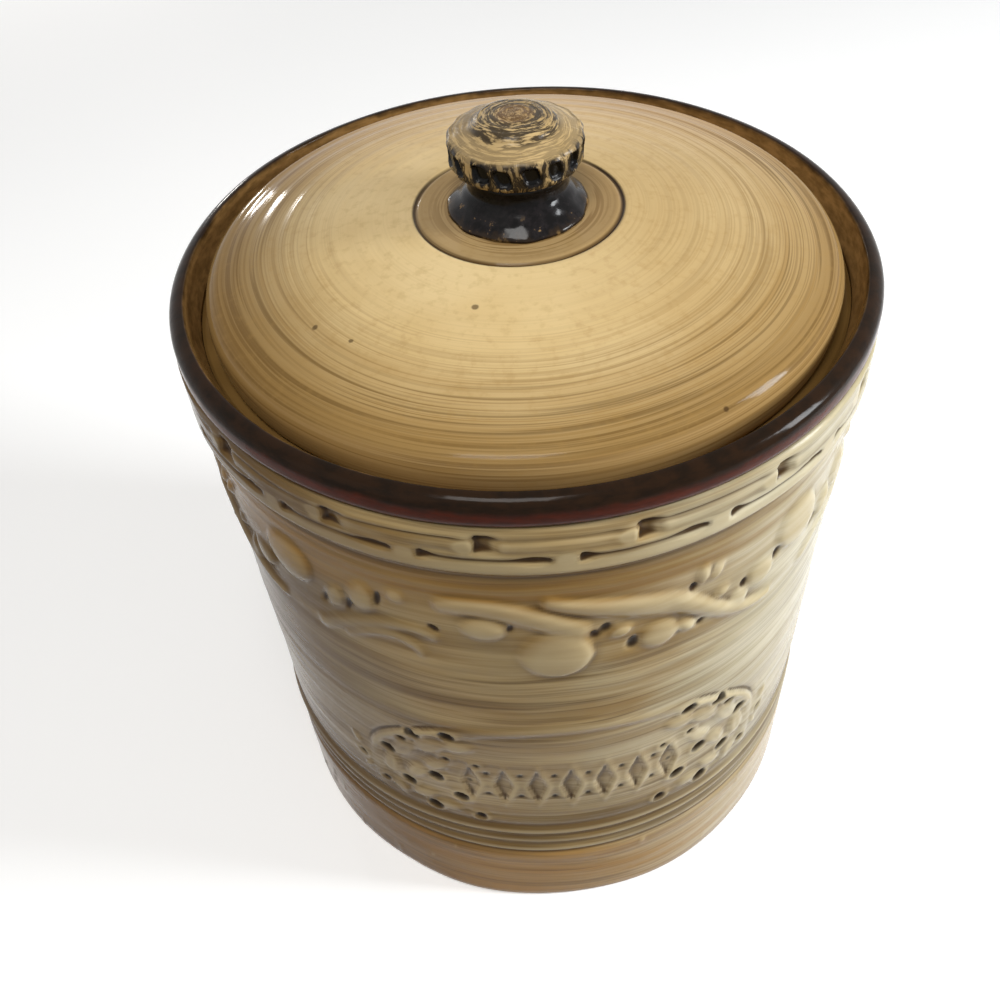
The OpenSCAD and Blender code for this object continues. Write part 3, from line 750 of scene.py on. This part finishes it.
WARM_1, WARM_2 = lin(152, 124, 76), lin(178, 154, 108)
CREAM_1, CREAM_2 = lin(186, 174, 140), lin(212, 204, 178)
CREAM = lin(204, 188, 150)
GREY = lin(164, 153, 120)
OCHRE = lin(152, 116, 60)
OLIVE = lin(92, 68, 34)
UMBER = lin(58, 38, 18)
DARK = lin(28, 19, 11)
ORANGE = lin(168, 126, 66)
BLACK = lin(14, 12, 12)
REDBROWN = lin(84, 28, 4)
CHOCOLATE = lin(40, 25, 13)


def wall_material():
    g = Graph("brushed_wall_glaze")
    pos, x, _, z, r, c, s = g.coords()
    cavity, fine = g.attr("cavity"), g.attr("fine_cavity")
    drift = g.noise(pos, 14, 2)
    zw = g.add(z, g.sway(drift, 0.006))
    broad = g.noise(g.turned(c, s, 1.3, zw, 130), 1, 3, 0.6)
    deep = g.bands(c, s, zw, 1.6, ((170, 0.5), (420, 0.5)))
    thin = g.bands(c, s, zw, 2.6, ((420, 0.4), (850, 0.35), (1600, 0.25)))
    hair = g.bands(c, s, zw, 2.6, ((1250, 0.5), (2100, 0.5)))
    patch = g.noise(pos, 22, 3, 0.55)
    # The glaze is creamier on the right of the jar and browner on the left: partly its own tone, partly
    # painted sheen on the right, towards the key lamp, and painted shade on the left
    side = g.add(x, g.sway(broad, 0.07))
    side = g.span(g.add(side, g.sway(patch, 0.05)), 0.004, 0.080)
    base = g.mix(side, g.mix(g.span(broad, 0.35, 0.65), WARM_1, WARM_2),
                 g.mix(g.span(broad, 0.35, 0.65), CREAM_1, CREAM_2))
    base = g.mix(g.span(patch, 0.42, 0.7, 0, 0.45), base, GREY)
    # Painted shade: the left of the jar, away from the key lamp, goes dark brown
    base = g.mix(g.span(g.add(x, g.sway(broad, 0.05)), -0.015, -0.085, 0, 0.82),
                 base, lin(74, 47, 12))
    # Ochre above the frieze, orange on the base band
    less = g.span(side, 0, 1, 1.0, 0.45, False)
    upper = g.mul(g.span(z, 0.162, 0.182), g.span(z, 0.1950, 0.1915, 0, 1))
    upper = g.mul(upper, g.span(side, 0, 1, 1.0, 0.25, False))
    base = g.mix(g.mul(upper, g.span(deep, 0.42, 0.56, 0.5, 0.95)), base, OCHRE)
    low = g.mul(g.span(zw, 0.040, 0.033), g.span(broad, 0.3, 0.6, 0.95, 0.7))
    base = g.mix(g.mul(low, less), base, ORANGE)
    # Painted shade: darker still low down on the left
    left = g.mul(g.span(x, -0.005, -0.080, 0, 0.7), g.span(z, 0.052, 0.034))
    base = g.mix(left, base, lin(80, 52, 16))
    base = g.mix(g.mul(g.span(z, 0.075, 0.050, 0, 0.42), g.span(z, 0.034, 0.036)), base, OLIVE)
    base = g.mix(g.mul(g.span(z, 0.062, 0.074, 0, 0.3), g.span(z, 0.118, 0.100)), base, lin(180, 166, 140))
    # Brush streaks, fewer on the raised clay
    wash = g.mul(g.span(cavity, -0.5, 0.0, 0.15, 1), g.span(g.attr("lift"), 0.9, 0.2, 0.3, 1))
    ringed = g.mul(g.span(z, 0.034, 0.040), g.span(z, 0.066, 0.058))
    base = g.mix(g.mul(ringed, g.span(deep, 0.44, 0.56, 0.1, 0.5)), base, OLIVE)
    streaks = g.add(g.span(thin, 0.50, 0.66, 0, 0.36), g.span(deep, 0.50, 0.66, 0, 0.36), clamp=True)
    # The shoulder is smoother, the wall below the frieze and the base are streakier
    smooth = g.mul(g.span(z, 0.140, 0.152), g.span(z, 0.190, 0.186))
    wash = g.mul(wash, g.span(smooth, 0, 1, 1.0, 0.55))
    base = g.mix(g.mul(g.mul(streaks, wash), g.span(side, 0, 1, 1.0, 0.6)), base, OLIVE)
    base = g.mix(g.mul(g.span(hair, 0.52, 0.66, 0, 0.2), wash), base, OLIVE)
    # Paler on raised clay, partly thinner glaze and partly painted highlight, stronger on the lit right;
    # darker in hollows, partly pooled glaze and partly painted shade
    raised = g.math("MAXIMUM", g.span(cavity, -0.06, -0.6, 0, 0.5), g.span(g.attr("lift"), 0.35, 1.4, 0, 0.5))
    base = g.mix(g.mul(raised, g.span(x, -0.09, 0.02, 0.35, 1.0)), base, CREAM)
    base = g.mix(g.span(cavity, 0.06, 0.9, 0, 0.85), base, OLIVE)
    base = g.mix(g.span(fine, 0.06, 0.36, 0, 0.85), base, UMBER)
    base = g.mix(g.span(fine, 0.34, 0.75, 0, 0.9), base, DARK)
    # Painted shadow, together with pooled glaze, darkens the pits and hollows
    base = g.mix(g.span(g.attr("pooled_glaze_and_shade"), 0.25, 1.1, 0, 0.8), base, DARK)
    # Inside of the pot: plain brown glaze
    inside = g.mul(g.span(r, 0.0962, 0.0955), g.span(z, 0.004, 0.006))
    base = g.mix(inside, base, g.mix(g.span(broad, 0.3, 0.7), lin(92, 68, 34), lin(120, 92, 50)))
    # Bare clay under the foot
    bare = g.span(z, 0.0036, 0.0012)
    base = g.mix(bare, base, lin(176, 150, 118))
    speck = g.noise(pos, 700, 1)
    rough = g.add(g.span(patch, 0.3, 0.7, 0.13, 0.2), g.mul(bare, 0.5))
    height = g.add(g.mul(thin, 0.55), g.mul(hair, 0.25))
    height = g.add(height, g.mul(g.noise(pos, 260, 2), 0.35))
    height = g.add(height, g.mul(speck, 0.06))
    return g.shader(base, rough, g.bump(height, 0.28, 0.0005))


# Iron spots in the lid's glaze: x, y and radius in metres
IRON_SPOTS = ((-0.0125, -0.0442, 0.0011), (-0.0550, -0.0428, 0.0011), (-0.0448, -0.0502, 0.0009))


def lid_material():
    g = Graph("brushed_lid_glaze")
    pos, x, y, z, r, c, s = g.coords()
    drift = g.noise(pos, 12, 2)
    rw = g.add(r, g.sway(drift, 0.003))
    rw = g.math("MULTIPLY_ADD", z, -0.8, rw)
    broad = g.noise(g.turned(c, s, 0.8, rw, 150), 1, 3, 0.6)
    thin = g.bands(c, s, rw, 1.0, ((560, 0.3), (1100, 0.4), (1900, 0.3)))
    hair = g.bands(c, s, rw, 1.2, ((1300, 0.5), (2100, 0.5)))
    patch = g.noise(pos, 20, 3, 0.5)
    base = g.mix(g.span(patch, 0.35, 0.68), lin(198, 171, 120), lin(210, 186, 138))
    out = g.span(r, 0.044, 0.084)
    right = g.span(x, -0.005, 0.050)
    dry = g.mul(g.span(broad, 0.45, 0.7, 0, 0.3), g.span(out, 0, 1, 0.2, 1.0))
    base = g.mix(dry, base, lin(166, 130, 74))
    rim = g.mul(g.span(r, 0.056, 0.090, 0, 0.66), g.span(y, 0.045, -0.045, 0.45, 1))
    base = g.mix(rim, base, lin(134, 102, 50))
    # Painted shade: the right of the lid somewhat darker, toning down the key lamp there
    base = g.mix(g.span(x, -0.010, 0.055, 0, 0.42), base, lin(150, 122, 78))
    dens = g.add(g.add(0.08, g.mul(out, 0.72)), g.mul(right, 0.16), clamp=True)
    base = g.mix(g.mul(g.span(thin, 0.49, 0.62), g.mul(dens, 0.5)), base, lin(134, 103, 54))
    base = g.mix(g.mul(g.span(hair, 0.51, 0.63), g.mul(dens, 0.32)), base, OLIVE)
    streak = g.bands(c, s, rw, 1.1, ((520, 0.35), (1050, 0.4), (1900, 0.25)))
    base = g.mix(g.mul(g.span(streak, 0.51, 0.63, 0, 0.56), g.span(r, 0.060, 0.084)), base, lin(84, 60, 26))
    # Painted shade: the outer lid darker on its left, away from the key lamp
    base = g.mix(g.mul(g.span(x, -0.030, -0.088, 0, 0.6), out), base, lin(108, 80, 36))
    edge = g.mul(g.span(r, 0.0800, 0.0885, 0, 0.35), g.span(r, 0.0915, 0.0900))
    base = g.mix(edge, base, lin(116, 86, 40))
    # A paler line at the lid's outer edge: partly a break in the glaze, partly painted light where the edge
    # sits in the gallery's shade
    base = g.mix(g.span(r, 0.0900, 0.0918, 0, 0.25), base, lin(160, 124, 76))
    # Painted reflection: a warm orange cast over the back of the lid
    base = g.mix(g.span(y, 0.020, 0.085, 0, 0.3), base, lin(196, 142, 72))
    mottle = g.noise(pos, 330, 3, 0.6)
    base = g.mix(g.span(mottle, 0.48, 0.72, 0, 0.22), base, lin(150, 118, 66))
    # The scored ring holds dark glaze, heavier at the right and front, and strokes of it lie round the knob
    ring = g.mul(g.span(r, (PAD_R - 1.2) * MM, (PAD_R - 0.5) * MM),
                 g.span(r, (PAD_R + 1.1) * MM, (PAD_R + 0.2) * MM))
    heavy = g.span(g.math("SUBTRACT", x, y), -0.020, 0.022)
    ring = g.mul(ring, g.add(g.span(streak, 0.42, 0.56, 0.95, 0.6), g.mul(heavy, 0.3), clamp=True))
    # Only on the top of the lid, not on its underside
    top = g.span(z, (PAD_Z - 2.4) * MM, (PAD_Z - 1.6) * MM)
    base = g.mix(g.mul(ring, top), base, lin(38, 24, 12))
    near = g.mul(g.span(r, 0.0292, 0.0205), g.span(thin, 0.47, 0.56, 0.05, 0.85))
    near = g.mul(near, top)
    base = g.mix(g.mul(near, g.span(heavy, 0, 1, 0.6, 1.0)), base, lin(84, 58, 28))
    base = g.mix(g.mul(top, g.span(r, 0.0300, 0.0285, 0, 0.7)), base, lin(128, 100, 60))
    # Pin specks in the glaze
    vor = g.node("ShaderNodeTexVoronoi", feature="F1")
    g.put(vor.inputs["Vector"], pos)
    vor.inputs["Scale"].default_value = 62
    rare = g.node("ShaderNodeSeparateColor")
    g.nt.links.new(vor.outputs["Color"], rare.inputs[0])
    spot = g.mul(g.span(vor.outputs["Distance"], 0.075, 0.045), g.span(rare.outputs[0], 0.90, 0.92))
    base = g.mix(g.mul(spot, 0.75), base, UMBER)
    for u, v, size in IRON_SPOTS:
        dx, dy = g.math("SUBTRACT", x, u), g.math("SUBTRACT", y, v)
        away = g.math("SQRT", g.add(g.math("POWER", dx, 2), g.math("POWER", dy, 2)))
        away = g.add(away, g.sway(mottle, 0.0012))
        base = g.mix(g.span(away, size, size * 0.5, 0, 0.7), base, UMBER)
    rough = g.span(patch, 0.3, 0.7, 0.09, 0.15)
    height = g.add(g.mul(thin, 0.6), g.mul(hair, 0.3))
    height = g.add(height, g.mul(g.noise(pos, 240, 2), 0.25))
    return g.shader(base, rough, g.bump(height, 0.09, 0.0005))


def lip_material():
    g = Graph("dark_lip_glaze")
    pos, _, _, z, r, c, s = g.coords()
    wob = g.noise(g.vec(g.mul(c, 7), g.mul(s, 7), 0), 1, 3, 0.6)
    zz = g.add(z, g.sway(wob, 0.0035))
    fleck = g.noise(g.turned(c, s, 16, z, 600), 1, 3, 0.6)
    dark = g.mix(g.span(fleck, 0.35, 0.7), CHOCOLATE, lin(27, 18, 10))
    outside = g.span(r, 0.1000, 0.1010)
    red = g.mul(outside, g.span(zz, (LIP_Z + 6.3) * MM, (LIP_Z + 4) * MM))
    base = g.mix(red, dark, g.mix(g.span(fleck, 0.3, 0.7), REDBROWN, lin(66, 24, 5)))
    base = g.mix(g.mul(outside, g.span(zz, (LIP_Z + 1.4) * MM, (LIP_Z + 0.3) * MM)), base, lin(36, 17, 8))
    # The glaze breaks to olive brown down the inside
    inner = g.mul(g.span(r, (GALLERY_R + 0.6) * MM, (GALLERY_R - 0.1) * MM),
                  g.span(zz, (JAR_H + 0.4) * MM, (JAR_H - 1.8) * MM))
    base = g.mix(inner, base, g.mix(g.span(fleck, 0.3, 0.7), lin(140, 106, 62), lin(108, 80, 44)))
    height = g.add(g.noise(pos, 120, 2), g.mul(fleck, 0.15))
    return g.shader(base, g.span(fleck, 0.3, 0.7, 0.1, 0.17), g.bump(height, 0.3, 0.0006), level=0.16)


def stem_material():
    g = Graph("black_stem_glaze")
    pos, _, _, z, _, c, s = g.coords()
    edge_noise = g.noise(g.turned(c, s, 3.5, z, 220), 1, 4, 0.6)
    chips = g.noise(pos, 420, 3, 0.6)
    base = g.mix(g.span(chips, 0.4, 0.7), BLACK, lin(30, 26, 27))
    rise = g.math("SUBTRACT", z, PAD_Z * MM)
    # The black glaze thins through brown to tan where it runs out over the foot
    rag = g.add(g.mul(rise, 420), g.mul(edge_noise, 3.0))
    base = g.mix(g.span(rag, 2.5, 1.7, 0, 0.8), base, lin(46, 34, 22))
    base = g.mix(g.span(rag, 1.75, 1.25), base, lin(132, 104, 62))
    spots = g.mul(g.span(chips, 0.64, 0.70), g.span(rise, 0.006, 0.002))
    base = g.mix(g.mul(spots, 0.7), base, lin(140, 112, 72))
    rough = g.span(chips, 0.3, 0.8, 0.1, 0.2)
    return g.shader(base, rough, g.bump(g.noise(pos, 150, 2), 0.35, 0.0006), level=0.3)


def cap_material():
    g = Graph("streaked_cap_glaze")
    pos, _, _, z, r, c, s = g.coords()
    nick = g.attr("nick")
    drift = g.noise(pos, 60, 2)
    rw = g.add(r, g.sway(drift, 0.005))
    swirl = g.noise(g.turned(c, s, 1.4, rw, 950), 1, 4, 0.7)
    hair = g.noise(g.turned(c, s, 3, rw, 2800), 1, 2, 0.6)
    base = g.mix(g.span(drift, 0.35, 0.65), lin(158, 132, 86), lin(182, 156, 110))
    up = g.span(z, (TOP_Z + 1.2) * MM, (TOP_Z + 2.2) * MM)
    ink = g.add(g.mul(swirl, 0.7), g.mul(hair, 0.3))
    heavy = g.mul(g.span(ink, 0.43, 0.52), g.add(0.42, g.mul(up, 0.5)))
    base = g.mix(heavy, base, lin(38, 30, 22))
    crown = g.span(r, 0.0062, 0.0040)
    base = g.mix(g.mul(crown, 0.4), base, lin(128, 92, 48))
    # Band: black in and round the nicks, streaks running down between them
    band = g.mul(g.span(z, (CAP_Z - 0.5) * MM, (CAP_Z + 0.2) * MM),
                 g.span(z, (TOP_Z + 0.3) * MM, (TOP_Z - 0.9) * MM))
    run = g.noise(g.turned(c, s, 9, z, 190), 1, 4, 0.7, 0.6)
    base = g.mix(g.mul(band, g.span(run, 0.43, 0.54, 0, 0.93)), base, lin(28, 22, 19))
    smear = g.add(g.attr("smear"), g.sway(run, 2.4))
    base = g.mix(g.span(smear, 0.55, 0.85, 0, 0.95), base, lin(16, 12, 10))
    base = g.mix(g.span(nick, 0.10, 0.34), base, lin(8, 7, 7))
    height = g.add(swirl, g.mul(run, 0.3))
    return g.shader(base, g.span(run, 0.3, 0.7, 0.16, 0.3), g.bump(height, 0.5, 0.0005), level=0.3)


def stage_material():
    g = Graph("pale_floor")
    path = g.node("ShaderNodeLightPath")
    p = g.node("ShaderNodeBsdfPrincipled")
    tone = g.noise(g.node("ShaderNodeTexCoord").outputs["Object"], 3, 2)
    pale = g.mix(tone, (0.88, 0.88, 0.88, 1), (0.92, 0.92, 0.92, 1))
    seen = g.math("MAXIMUM", path.outputs["Is Camera Ray"], path.outputs["Is Glossy Ray"])
    seen = g.math("MAXIMUM", seen, path.outputs["Is Transmission Ray"])
    g.put(p.inputs["Base Color"], g.mix(seen, (0.40, 0.36, 0.31, 1), pale))
    p.inputs["Roughness"].default_value = 0.9
    p.inputs["Specular IOR Level"].default_value = 0.1
    p.inputs["Emission Color"].default_value = (1, 1, 1, 1)
    far = g.span(g.coords()[4], 0.6, 2.2, 0.2, 0.75)
    g.put(p.inputs["Emission Strength"], g.mul(seen, far))
    out = g.node("ShaderNodeOutputMaterial")
    g.nt.links.new(p.outputs[0], out.inputs[0])
    return g.mat


for ob, mat in ((pot, wall_material()), (lid, lid_material()), (lip, lip_material()), (stem, stem_material()),
                (cap, cap_material())):
    ob.data.materials.append(mat)

for ob in (pot, lip):
    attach(ob, "jar")
for ob in (lid, stem, cap):
    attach(ob, "lid")
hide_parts("jar_body", "scroll_frieze", "berry_sprigs", "panel_frame", "panel_leaves")
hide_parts("rim_lip")
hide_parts("lid_dome")
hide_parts("knob_stem")
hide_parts("knob_cap")

# ---------------------------------------------------------------- stage, light and camera
floor_mesh = bpy.data.meshes.new("floor")
floor_mesh.from_pydata([(-3, -3, 0), (3, -3, 0), (3, 3, 0), (-3, 3, 0)], [], [(0, 1, 2, 3)])
floor = bpy.data.objects.new("floor", floor_mesh)
bpy.context.scene.collection.objects.link(floor)
floor_mesh.materials.append(stage_material())


def area_light(name, place, aim, size, power, color):
    data = bpy.data.lights.new(name, "AREA")
    data.shape = "RECTANGLE"
    data.size, data.size_y = size
    data.energy = power
    data.color = color
    ob = bpy.data.objects.new(name, data)
    ob.location = place
    ob.rotation_euler = (Vector(aim) - Vector(place)).to_track_quat("-Z", "Y").to_euler()
    bpy.context.scene.collection.objects.link(ob)


# Name, place, aim, size in metres, power in watts, colour
LAMPS = [
    ("key", (0.98, -0.15, 0.60), (0, 0, 0.14), (0.24, 0.42), 12, (0.95, 0.98, 1.0)),
    ("overhead", (-0.14, -0.5, 1.45), (0, 0, 0.15), (0.5, 0.5), 12.8, (1.0, 0.98, 0.95)),
    ("back", (-0.62, 1.2, 0.42), (0, 0, 0.2), (0.1, 0.1), 1.2, (1.0, 0.97, 0.92)),
    ("fill", (-0.9, -0.7, 0.9), (0, 0, 0.15), (0.9, 0.9), 0.8, (1.0, 0.96, 0.9)),
]
for lamp in LAMPS:
    area_light(*lamp)

# The world lights the jar softly and shows as white
WORLD_LIGHT = 0.22
world = bpy.data.worlds.new("studio")
bpy.context.scene.world = world
world.use_nodes = True
wn = world.node_tree
wn.nodes.clear()
bg = wn.nodes.new("ShaderNodeBackground")
bg.inputs["Color"].default_value = (1, 1, 1, 1)
path = wn.nodes.new("ShaderNodeLightPath")
seen = wn.nodes.new("ShaderNodeMath")
seen.operation = "MAXIMUM"
wn.links.new(path.outputs["Is Camera Ray"], seen.inputs[0])
wn.links.new(path.outputs["Is Transmission Ray"], seen.inputs[1])
seen_all = wn.nodes.new("ShaderNodeMath")
seen_all.operation = "MAXIMUM"
wn.links.new(seen.outputs[0], seen_all.inputs[0])
wn.links.new(path.outputs["Is Glossy Ray"], seen_all.inputs[1])
mix = wn.nodes.new("ShaderNodeMapRange")
wn.links.new(seen_all.outputs[0], mix.inputs["Value"])
mix.inputs["To Min"].default_value = WORLD_LIGHT
mix.inputs["To Max"].default_value = 1.0
wn.links.new(mix.outputs[0], bg.inputs["Strength"])
wo = wn.nodes.new("ShaderNodeOutputWorld")
wn.links.new(bg.outputs[0], wo.inputs[0])

# The camera as solved from the photograph: its own axes, and its place in metres
cam_data = bpy.data.cameras.new("camera")
cam_data.sensor_width = 36.0
cam_data.lens = 39.6
cam_data.clip_start = 0.01
camera = bpy.data.objects.new("camera", cam_data)
RIGHT = Vector((0.99829529, -0.01568654, -0.0562179))
UP = Vector((0.04999651, 0.72681099, 0.68501542))
LOOK = Vector((-0.03011427, 0.68665837, -0.72635626))
turn = Matrix((RIGHT, UP, -LOOK)).transposed()
camera.matrix_world = Matrix.Translation((0, -0.27502, 0.40274)) @ turn.to_4x4()
bpy.context.scene.collection.objects.link(camera)
bpy.context.scene.camera = camera

bpy.context.scene.view_settings.view_transform = "Standard"
